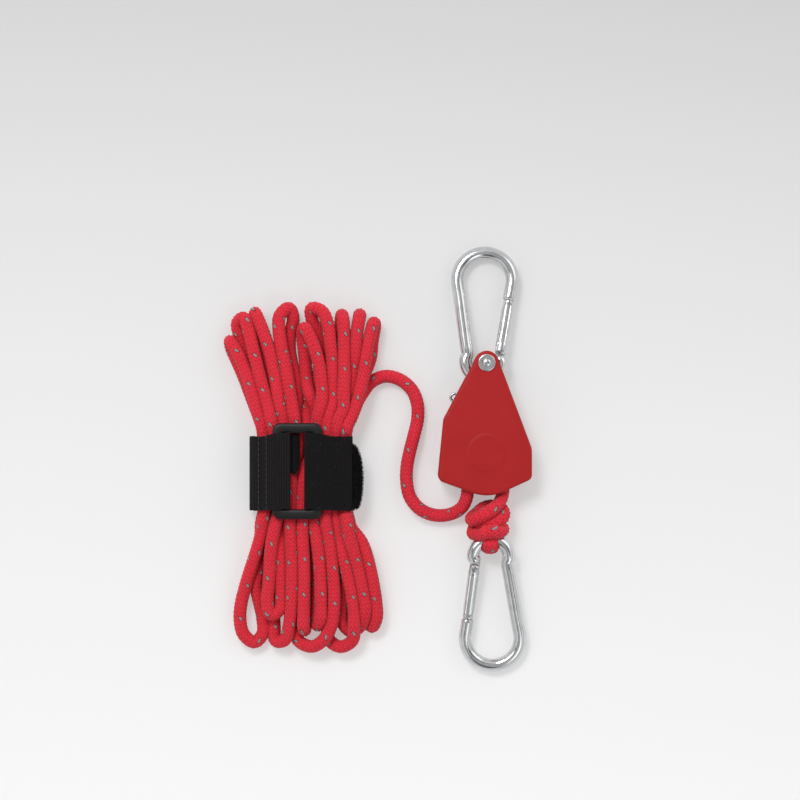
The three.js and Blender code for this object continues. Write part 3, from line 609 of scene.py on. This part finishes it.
strap_band = strip("strap_band_webbing", [
    (-97.4, 15.6), (-104, 15.6), *arc(-112.7, 11.8, 3.8, 90, 180), (-116.5, 8),
    *arc(-112.7, 4.8, 3.8, 180, 270), (-100, 1), (-80, 1), *arc(-70.7, 4.8, 3.8, 270, 360),
    (-66.9, 8), *arc(-70.7, 11.8, 3.8, 0, 90), (-78, 15.6), (-89.2, 15.6)], ribbed_webbing, edges=edge_rise)
strap_fold = strip("strap_fold_webbing", [
    (-97.7, 16.6), (-97.7, 19.2), *arc(-98.8, 19.0, 1.2, 0, 90, 4), (-101.5, 20.2), (-105.2, 20.1),
    (-108, 19.2), (-110.6, 17.7), (-113, 17.3), (-115.3, 16.6)], ribbed_webbing, edges=edge_rise)
strap_flap = strip("strap_flap_webbing", [
    (-88.9, 16.6), (-88.9, 19.2), *arc(-87.8, 19.0, 1.2, 180, 90, 4), (-85, 20.2), (-81.4, 20.1),
    (-78.4, 19.2), (-75.6, 17.8), (-72, 17.3), (-69, 16.8), (-66.6, 15.2)], plain_webbing,
    edges=edge_rise, ribs=0.04)
strap_pieces = [strap_band, strap_fold, strap_flap]

pile_outline = [(-72, -24.4), (-66, -24.8), (-63, -23.4), (-61.6, -18), (-61.1, -11), (-61.5, -3),
                (-62.9, 3.4), (-64.6, 6.6), (-68, 8), (-72, 8)]
pile_rows = []
outline = route(raised(pile_outline), 0.8)
for z, inset in ((13.2, 0.5), (13.8, 0), (15.4, 0), (16.0, 0.5)):
    pile_rows.append([(x - inset * (x > -71.5), y, z - 2.2 * max(0.0, (x + 67) / 6) ** 2)
                      for x, y, _ in outline])
pile_black, n, shader = new_material("hook_pile", Roughness=0.9, Specular_IOR_Level=0.1)
fibres = n.noise(n.here(), 2400, 4, 0.75)
wire_up(n, shader, Base_Color=n.ramp(fibres, (0.3, (0.002, 0.0017, 0.002)), (0.75, (0.011, 0.01, 0.0105))),
        Normal=n.bumped(fibres, 0.7, 0.0004))
pile_end = reworked(
    loft("strap_pile_end", pile_rows, pile_black),
    lambda solid: bmesh.ops.triangulate(solid, faces=[f for f in solid.faces if len(f.verts) > 4]),
    lambda solid: bmesh.ops.subdivide_edges(solid, edges=solid.edges, cuts=1), faced_out)
smooth(pile_end, 60)


def growing_tree(name, sizes):
    """A node tree's start: it takes a base piece, some sizes and a finish."""
    tree = bpy.data.node_groups.new(name, "GeometryNodeTree")
    face = tree.interface
    face.new_socket("Geometry", in_out="INPUT", socket_type="NodeSocketGeometry")
    for label, value in sizes.items():
        face.new_socket(label, in_out="INPUT", socket_type="NodeSocketFloat").default_value = value
    face.new_socket("Finish", in_out="INPUT", socket_type="NodeSocketMaterial")
    face.new_socket("Geometry", in_out="OUTPUT", socket_type="NodeSocketGeometry")
    n = Nodes(tree)
    return n, n.add("NodeGroupInput").outputs


def laid_out(n, given, points, instance, rotation):
    """The tree's end: a shape set at each point and given the finish."""
    laid = n.add("GeometryNodeInstanceOnPoints", {"Points": points, "Instance": instance.outputs["Mesh"],
                                                  "Rotation": rotation})
    real = n.add("GeometryNodeRealizeInstances", {"Geometry": laid.outputs["Instances"]}).outputs["Geometry"]
    done = n.add("GeometryNodeSetMaterial", {"Geometry": real, "Material": given["Finish"]})
    n.add("NodeGroupOutput", {"Geometry": done.outputs["Geometry"]})
    return n.tree


def pile_tree():
    """Short hooked bristles spread over a surface."""
    n, given = growing_tree("hook_pile_bristles", {
        "Bristles per square metre": 4e6, "Bristle length": 0.0009, "Bristle radius": 0.00011})
    spots = n.add("GeometryNodeDistributePointsOnFaces", {
        "Mesh": given["Geometry"], "Density": given["Bristles per square metre"], "Seed": 7})
    stem = n.add("GeometryNodeMeshCone", {"Vertices": 4, "Radius Bottom": given["Bristle radius"],
                                          "Radius Top": 0.00004, "Depth": given["Bristle length"]})
    lean = n.add("FunctionNodeRandomValue", {"Min": (-0.5, -0.5, 0), "Max": (0.5, 0.5, 6.28), "Seed": 3},
                 data_type="FLOAT_VECTOR")
    rotation = {"Rotation": spots.outputs["Rotation"], "Rotate By": lean.outputs["Value"]}
    way = n.add("FunctionNodeRotateRotation", rotation, rotation_space="LOCAL").outputs["Rotation"]
    return laid_out(n, given, spots.outputs["Points"], stem, way)


def grown(name, base, tree, finish):
    """The plain mesh that a node tree makes on a base piece, which loses the modifier again."""
    modifier = base.modifiers.new("grow", "NODES")
    modifier.node_group = tree
    modifier[tree.interface.items_tree["Finish"].identifier] = finish
    bpy.context.view_layer.update()
    made = bpy.data.meshes.new_from_object(base.evaluated_get(bpy.context.evaluated_depsgraph_get()))
    base.modifiers.remove(modifier)
    made.name = name
    piece = bpy.data.objects.new(name, made)
    scene.collection.objects.link(piece)
    return piece


pile_bristles = grown("strap_pile_bristles", pile_end, pile_tree(), pile_black)
strap_pieces += [pile_end, pile_bristles]


def stitch_tree():
    """Slanted thread stitches in a row along a line of points."""
    n, given = growing_tree("thread_stitches", {
        "Stitch pitch": 0.0026, "Stitch length": 0.0021, "Thread radius": 0.00024})
    seam = n.add("GeometryNodeMeshToCurve", {"Mesh": given["Geometry"]})
    row = n.add("GeometryNodeResampleCurve", {"Curve": seam.outputs["Curve"],
                                              "Length": given["Stitch pitch"]}, mode="LENGTH")
    bar = n.add("GeometryNodeMeshCylinder", {"Vertices": 8, "Radius": given["Thread radius"],
                                             "Depth": given["Stitch length"]})
    return laid_out(n, given, row.outputs["Curve"], bar, (math.pi / 2, 0, 0.12))


thread, n, shader = new_material("black_thread", Roughness=0.7, Sheen_Weight=0.2)
ply = n.noise(n.here(), 5000, 3)
wire_up(n, shader, Base_Color=n.ramp(ply, (0.3, (0.005, 0.0045, 0.005)), (0.8, (0.014, 0.0125, 0.0135))),
        Normal=n.bumped(ply, 0.5, 0.0002))
seams = mesh_object("seam_lines", [(-108.6, -24, 19.75), (-108.6, 11.4, 19.75), (-112.6, -24, 18.3),
                                   (-112.6, 10.8, 18.3)], [], thread)
seams.data.edges.add(2)
seams.data.edges.foreach_set("vertices", [0, 1, 2, 3])
strap_stitches = grown("strap_stitches", seams, stitch_tree(), thread)
bpy.data.objects.remove(seams)
strap_pieces.append(strap_stitches)

lip = strip("strap_inner_lip", [(-96.8, 15.5), (-95.6, 16.2), (-94, 16.1), (-92.4, 15.2)], plain_webbing,
            thickness=0.9, edges=lambda x: (-7.4 + 0.75 * (x + 95) ** 2, 12.6), ribs=0.02)
strap_pieces.append(lip)
for piece in strap_pieces:
    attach(piece, "housing")
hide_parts("strap_band")
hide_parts("strap_fold")
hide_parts("strap_flap")


# ---- The buckle ----
# A moulded black nylon loop, 24.8 by 47.8 mm, with rounded bars and a fine moulded skin.
def rounded_rectangle(half_x, half_y, radius):
    """The outline, with its points in step with those of any other size."""
    bends = [np.array(arc(sx * (half_x - radius), sy * (half_y - radius), radius, start, start + 90, 10))
             for start, sx, sy in ((0, 1, 1), (90, -1, 1), (180, -1, -1), (270, 1, -1))]
    rows = []
    for bend, after in zip(bends, bends[1:] + bends[:1]):
        rows += [bend, np.linspace(bend[-1], after[0], 14)[1:-1]]
    return np.vstack(rows) + (-93.3, -5.7)


outer, inner = rounded_rectangle(12.4, 23.9, 4), rounded_rectangle(7.95, 18.9, 1.8)
section = []
for a in 2 * np.pi * np.arange(24)[::-1] / 24:
    section.append((math.copysign(abs(math.cos(a)) ** 0.62, math.cos(a)),
                    math.copysign(abs(math.sin(a)) ** 0.7, math.sin(a))))
rows = [[(*(c + w * out), 18.0 + 1.5 * up) for out, up in section]
        for c, w in zip((outer + inner) / 2, (outer - inner) / 2)]
nylon, n, shader = new_material("moulded_nylon", Specular_IOR_Level=0.3)
here = n.here()
skin = n.noise(here, 1800, 3)
cloud = n.noise(here, 160, 2)
wire_up(n, shader, Base_Color=n.ramp(cloud, (0.3, (0.005, 0.0045, 0.005)), (0.8, (0.009, 0.008, 0.0085))),
        Roughness=n.scaled(skin, 0.25, 0.3), Normal=n.bumped(skin, 0.25, 0.0002))
buckle = smooth(loft("buckle_loop", rows, nylon, joined=True), 60)
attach(buckle, "housing")
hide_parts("buckle")


# ---- The housing: front and back shells ----
# Two pressings of 1.2 mm steel, powder coated red, with rolled edges and a low round boss over the
# sheave's hub. The side walls stop short of the hanging pin, and the bottom edge is open as a rope mouth.
MID_Z = 9.0
HUB = (0.9, 3.4)
PIN = (0.9, 48.2)
DISCS = [(*PIN, 6), (*HUB, 21.25), (-16.75, 18.95, 4), (-19.4, -7.6, 4), (20.3, -7.6, 3.1), (13.7, 3.65, 9.7)]


def taut_outline(inset):
    """The string pulled round the discs, as many close points."""
    way, discs = np.array(arc(0, 0, 1, 0, 360, 121)), np.array(DISCS)
    outermost = discs[(discs[:, :2] @ way.T + discs[:, 2:]).argmax(axis=0)]
    hull = outermost[:, :2] + (outermost[:, 2:] - inset) * way
    return spaced(raised(hull), 0.25)[:, :2]


def ring_at(angles, inset):
    """The outline's points in given directions from the hub."""
    line = taut_outline(inset) - HUB
    turn = np.arctan2(line[:, 1], line[:, 0])
    order = np.argsort(turn)
    return np.column_stack([np.interp(angles, turn[order], line[order, k], period=2 * np.pi) for k in (0, 1)])


def cut(piece, cutters, operation="DIFFERENCE"):
    """Cut or join one piece after another, worked in millimetres so that no sliver is lost."""
    piece.data.transform(Matrix.Scale(1 / MM, 4))
    for cutter in cutters:
        cutter.data.transform(Matrix.Scale(1 / MM, 4))
        tool = piece.modifiers.new("cut", "BOOLEAN")
        tool.object, tool.operation, tool.solver = cutter, operation, "EXACT"
        bpy.context.view_layer.update()
        made = bpy.data.meshes.new_from_object(piece.evaluated_get(bpy.context.evaluated_depsgraph_get()))
        piece.modifiers.clear()
        piece.data = made
        reworked(piece, lambda solid: bmesh.ops.remove_doubles(solid, verts=solid.verts, dist=0.0005),
                 lambda solid: bmesh.ops.dissolve_degenerate(solid, edges=solid.edges, dist=0.0005))
        bpy.data.objects.remove(cutter)
    piece.data.transform(Matrix.Scale(MM, 4))
    return piece


def prism(outline, low, high, place=AS_DRAWN):
    """A cutter: an outline of [x, y] carried from one height to another."""
    return loft("cutter", [raised(outline, z) for z in (low, high)], None, place=place)


def block(low, high, place=AS_DRAWN):
    corners = [(low[0], low[1]), (high[0], low[1]), (high[0], high[1]), (low[0], high[1])]
    return prism(corners, low[2], high[2], place)


def turned(name, profile, material, place=AS_DRAWN, sides=64):
    """A lathe-turned piece about Z, from its [radius, z] profile, which runs from axis to axis or closes."""
    circle = np.array(arc(0, 0, 1, 0, 360, sides + 1)[:-1])
    rows = [raised(r * circle, z) for r, z in profile if r > 0]
    open_at_axis = profile[0][0] > 0
    tips = None if open_at_axis else [(0, 0, profile[0][1]), (0, 0, profile[-1][1])]
    return loft(name, rows, material, tips, open_at_axis, place=place)


def drill(radius, low, high, place, sides):
    return turned("cutter", [(0, low), (radius, low), (radius, high), (0, high)], None, place, sides)


def shell(name, facing, material):
    """One pressing; facing is 1 for the front and -1 for the back."""
    start = ring_at(np.linspace(-math.pi, math.pi, 1441), 0)
    even = spaced(raised(start), 0.52)[:-1]
    angles = np.arctan2(even[:, 1], even[:, 0])
    side, wall, edge = 7.6, 1.2, 1.3

    def skin(offset):
        rows = [(ring_at(angles, offset), z) for z in (0.15, 3, side - edge)]
        turn_in = edge - offset
        for a in np.radians([15, 30, 45, 60, 75, 90]):
            inset, z = offset + turn_in * (1 - math.cos(a)), side - edge + turn_in * math.sin(a)
            rows.append((ring_at(angles, inset), z))
        flat, level = rows[-1]
        round_boss = np.column_stack([np.cos(angles), np.sin(angles)])
        rows += [(flat * (1 - t) + round_boss * 10.0 * t, level) for t in np.linspace(0, 1, 15)[1:]]
        rows += [(round_boss * radius, level + rise) for radius, rise in (
            (9.8, 0.02), (9.5, 0.07), (9.2, 0.13), (8.9, 0.17), (8.5, 0.19), (6, 0.19), (3, 0.19))]
        return [raised(ring + HUB, MID_Z + facing * z) for ring, z in rows]

    rows = np.array(skin(wall)[::-1] + skin(0))[:, ::facing]
    piece = loft(name, rows, material, [(*HUB, rows[0, 0, 2]), (*HUB, rows[-1, 0, 2])])
    inner = side - wall + 0.02
    low, high = (MID_Z - (1 if facing > 0 else inner), MID_Z + (inner if facing > 0 else 1))
    cutters = [block((-60, 27.4, low), (60, 90, high)), block((-13.5, -60, low), (15.3, -6.1, high)),
               drill(1.72, 0, 20, Matrix.Translation((*PIN, 0)), 40)]
    return smooth(cut(piece, cutters), 32)


def paint_finish():
    material, n, shader = new_material("red_powder_coat", Specular_IOR_Level=0.22)
    here = n.here()
    peel = n.noise(here, 850, 2)
    red = n.ramp(n.noise(here, 70, 3), (0.25, (0.355, 0.009, 0.010)), (0.8, (0.395, 0.011, 0.012)))
    speck = n.scaled(n.math("GREATER_THAN", n.noise(here, 1700, 2), 0.73), 0.25)
    wire_up(n, shader, Base_Color=n.mix(speck, red, (0.46, 0.03, 0.03)), Roughness=n.scaled(peel, 0.16, 0.38),
            Normal=n.bumped(peel, 0.12, 0.0002))
    return material


powder_coat = paint_finish()
front_shell = shell("front_shell_pressing", 1, powder_coat)
back_shell = shell("back_shell_pressing", -1, powder_coat)
for piece, node in ((front_shell, "front_shell"), (back_shell, "back_shell")):
    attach(piece, "housing")
    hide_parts(node)


# ---- The hanging pin and its washers ----
# A zinc-plated steel pin riveted over a plain washer on each face, with a domed head in front.
def plated_finish(name, tint, rough, scratch):
    material, n, shader = new_material(name, Metallic=1.0)
    here = n.here()
    cloud = n.noise(here, 210, 4, 0.6)
    wire_up(n, shader, Base_Color=n.ramp(cloud, (0.25, tuple(0.8 * c for c in tint)), (0.75, tint)),
            Roughness=n.scaled(cloud, 0.12, rough),
            Normal=n.bumped(n.scaled(cloud, 2, n.noise(here, 2300, 3)), scratch, 0.0002))
    return material


zinc_plate = plated_finish("zinc_plate", (0.72, 0.73, 0.74), 0.1, 0.06)
bare_steel = plated_finish("bare_steel", (0.42, 0.43, 0.45), 0.26, 0.08)
oiled_bronze = plated_finish("oiled_bronze", (0.50, 0.32, 0.13), 0.3, 0.08)

at_pin = Matrix.Translation((*PIN, MID_Z))
dome = [(2.15 * x, 8.35 + 1.05 * z) for x, z in arc(0, 0, 1, 8, 80, 9)]
top_rivet = turned("top_rivet_turned", [
    (0, -9), (1.2, -8.97), (1.9, -8.7), (2.15, -8.35), (1.6, -8.3), (1.6, -6.35), (2.5, -6.35), (2.5, 6.35),
    (1.6, 6.35), (1.6, 8.3), (2.15, 8.32), *dome, (0, 9.4)], zinc_plate, at_pin)
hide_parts("top_rivet")
washers = []
for name, low in (("front_washer_dished", 7.65), ("back_washer_dished", -8.25)):
    washers.append(turned(name, [
        (1.75, low), (3.9, low), (4.15, low + 0.08), (4.25, low + 0.25), (4.2, low + 0.45), (4.0, low + 0.56),
        (3.8, low + 0.6), (2.4, low + 0.36), (1.9, low + 0.32), (1.75, low + 0.25)], zinc_plate, at_pin, 80))
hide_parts("front_washer")
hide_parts("back_washer")
for piece in (top_rivet, *washers):
    smooth(piece, 30)
    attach(piece, "housing")


# ---- The sheave, ratchet wheel, axle and springs ----
# These turned and stamped parts are right as they come from the frame and get their own metals: a
# plated sheave on a bronze bush, and a hardened ratchet wheel, axle, pins and wire springs.
METALS = {
    zinc_plate: ["sheave"],
    bare_steel: ["ratchet_wheel", "sheave_axle", "lever_pin", "lever_spring", "upper_gate_plunger",
                 "upper_gate_spring", "lower_gate_plunger", "lower_gate_spring"],
    oiled_bronze: ["sheave_bush"],
}
for metal, names in METALS.items():
    for name in names:
        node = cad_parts[name]
        for slot in node.material_slots:
            slot.material = metal


# ---- The release lever ----
# A stamped steel lever on a pin inside the housing: its pawl tip rests on the ratchet wheel, and its
# wire finger eye stands out of the left side.
LEVER_PIN = (3.4, 20.9)
LEVER_EYE = (-15.1, 30.9)
LEVER_Z = (4.0, 5.4)  # the pawl is a little thinner and the boss a little thicker, so that they join cleanly


def flat_bar(name, start, end, wide_start, wide_end, low, high, material):
    """A stamping with round ends and softened edges."""
    heading = math.degrees(math.atan2(end[1] - start[1], end[0] - start[0]))
    outline = np.array(arc(*start, wide_start, heading + 90, heading + 270, 15)
                       + arc(*end, wide_end, heading - 90, heading + 90, 15))
    inward = outline.mean(axis=0) - outline
    inward /= np.linalg.norm(inward, axis=1)[:, None]
    rows = [raised(outline + inward * inset, z)
            for inset, z in ((0.15, low), (0, low + 0.15), (0, high - 0.15), (0.15, high))]
    return loft(name, rows, material)


seat_angle = math.radians(125 - 3.4)
pawl_tip = (HUB[0] + 11.85 * math.cos(seat_angle) + 0.35, HUB[1] + 11.85 * math.sin(seat_angle) + 0.75)
lever = flat_bar("release_lever_stamping", LEVER_PIN, (-13.2, 29.87), 1.6, 1.0, *LEVER_Z, zinc_plate)
pawl = flat_bar("pawl", LEVER_PIN, pawl_tip, 2.4, 0.45, 4.03, 5.37, zinc_plate)
at_lever_pin = Matrix.Translation((*LEVER_PIN, 0))
finger_eye = turned("finger_eye", [(1.85 + x, z) for x, z in arc(0, 0, 0.68, 0, 360, 15)[:-1]], zinc_plate,
                    Matrix.Translation((*LEVER_EYE, 4.7)), 40)
boss = turned("boss", [(0, 3.98), (3, 3.98), (3, 5.42), (0, 5.42)], zinc_plate, at_lever_pin, 40)
cut(lever, [pawl, boss], "UNION")
cut(lever, [drill(1.52, 3, 7, at_lever_pin, 32)])
cut(lever, [finger_eye], "UNION")
smooth(lever, 35)
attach(lever, "lever")
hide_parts("release_lever")


# ---- The snap hooks ----
# Each is bent from 6.5 mm zinc-plated wire, 70 mm long: a small eye, a pinched neck, a wide crown
# and a nose. A folded sprung gate turns on a rivet at the neck and latches on the nose.
WIRE_R, EYE_R, CROWN_R, SPAN = 3.25, 8.95, 13.72, 40.8
GATE_FOOT, GATE_R, RIVET_BORE = 5.4, 2.9, 1.07
LEAN = math.atan(6.15 / SPAN)
GATE_LENGTH = 25.1 / math.cos(LEAN)


def leg_x(y):
    return 7.6 + 6.15 * y / SPAN


def hook_wire(name, place):
    lean = math.degrees(LEAN)
    line = route(raised([
        (leg_x(2.0), 2.0), (leg_x(1.2) + 0.35, 1.0), *arc(0, 0, EYE_R, -4, -176, 21), (-EYE_R + 0.12, 0.9),
        (-leg_x(2.4) - 0.12, 2.9), (-leg_x(4.6) + 0.1, 4.6), *[(-leg_x(y), y) for y in (8, 20, 32)],
        *arc(0, SPAN, CROWN_R, 180 + lean, -lean, 25), (leg_x(35.5), 35.5), (leg_x(30.8), 30.8)]), 0.7)
    pinch = 1 - 0.07 * np.exp(-((line[:, 1] - 2.9) / 1.6) ** 2) * (line[:, 0] < 0)
    ends = np.minimum(np.arange(len(line)), np.arange(len(line))[::-1])
    radius = WIRE_R * pinch * np.where(ends == 0, 0.9, np.where(ends == 1, 0.98, 1))
    line = np.array([place @ Vector(p) for p in line])
    return tube(name, line, radius, 40, zinc_plate)


def gate_bar(name, place):
    """The folded gate: a round bar with two fold lines down its front and back."""
    stations = [-GATE_R * math.cos(a) for a in np.radians(np.linspace(4, 90, 9))]
    stations += list(np.linspace(0.6, GATE_LENGTH - 0.35, 44)) + [GATE_LENGTH - 0.12, GATE_LENGTH]
    rows = []
    for x in stations:
        size = math.sqrt(max(GATE_R ** 2 - min(x, 0) ** 2, 0.02))
        size -= 0.22 * (x > GATE_LENGTH - 0.01) + 0.06 * (abs(x - GATE_LENGTH + 0.12) < 0.01)
        fold = np.clip((x - 2.6) / 0.8, 0, 1) * np.clip((GATE_LENGTH - 1.2 - x) / 0.8, 0, 1)
        row = []
        for a in 2 * np.pi * np.arange(80) / 80:
            dip = sum(math.exp(-(((math.degrees(a) - c) / 5.5) ** 2)) for c in (57, 121, 239, 303))
            r = size - fold * (0.42 * dip + max(0.0, abs(math.sin(a)) - 0.86) * 1.2)
            row.append((x, r * math.cos(a), r * math.sin(a)))
        rows.append(row)
    return loft(name, rows, zinc_plate, place=place)


def collar(x, place):
    """A cutter for a fine groove turned round the nose."""
    low, high = x - 0.16, x + 0.16
    return turned("cutter", [(2.95, low), (3.6, low), (3.6, high), (2.95, high)], None, place, 48)


def snap_hook(prefix, place):
    slot = 1.5
    at_gate = (place @ Matrix.Translation((leg_x(GATE_FOOT), GATE_FOOT, 0))
               @ Matrix.Rotation(math.pi / 2 - LEAN, 4, "Z"))
    along_gate = at_gate @ Matrix.Rotation(math.pi / 2, 4, "Y")
    wire = hook_wire(f"{prefix}_hook_wire", place)
    tongue = prism([(-4.4, -2.5), *arc(0, 0, 2.5, -90, 90, 21), (-4.4, 2.5)], -1.2, 1.2, at_gate)
    latch = block((GATE_LENGTH - 3, -2.2, -1.2), (GATE_LENGTH + 2, 2.2, 1.2), at_gate)
    cut(wire, [tongue, latch], "UNION")
    pocket = [(GATE_LENGTH + 3.2, 0.2), (GATE_LENGTH + 3.2, 4.2), (GATE_LENGTH + 8.6, 4.2)]
    cut(wire, [drill(RIVET_BORE, -6, 6, at_gate, 32), prism(pocket, 0.7, 4, at_gate),
               prism(pocket, -4, -0.7, at_gate),
               *[collar(GATE_LENGTH + x, along_gate) for x in (0.5, 3.2)]])

    gate = gate_bar(f"{prefix}_gate_channel", at_gate)
    knuckle = [(-6, -6), (0, -6), *arc(0, 0, 3.2, -90, 90, 25), (0, 6), (-6, 6)]
    cut(gate, [prism(knuckle, -slot, slot, at_gate),
               block((GATE_LENGTH - 3.5, -6, -slot), (GATE_LENGTH + 1, 6, slot), at_gate),
               drill(RIVET_BORE, -6, 6, at_gate, 32), drill(1.45, 1.3, GATE_LENGTH - 7, along_gate, 30)])

    rivet = turned(f"{prefix}_gate_rivet_headed", [
        (0, -3.5), (0.8, -3.45), (1.3, -3.3), (1.5, -3.0), (0.95, -2.96), (0.95, 2.96), (1.5, 3.0),
        (1.3, 3.3), (0.8, 3.45), (0, 3.5)], bare_steel, at_gate, 40)
    for piece, body, node in (
            (wire, "_hook", "_hook"), (gate, "_gate", "_gate"), (rivet, "_hook", "_gate_rivet")):
        smooth(piece, 32)
        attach(piece, prefix + body)
        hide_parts(prefix + node)


def hook_place(x, y, z, turn, tilt):
    """Where a hook's eye is, its turn in the flat, and its tilt down to the table."""
    return (Matrix.Translation((x, y, z)) @ Matrix.Rotation(math.radians(turn), 4, "Z")
            @ Matrix.Rotation(-tilt, 4, "X"))


snap_hook("upper", hook_place(-0.65, 49.13, 9.0, -1.2, math.asin(5.75 / 54.55)))
snap_hook("lower", hook_place(3.15, -49.05, 8.19, 181.3, math.asin(5.75 / 63.5)))


bpy.context.view_layer.update()
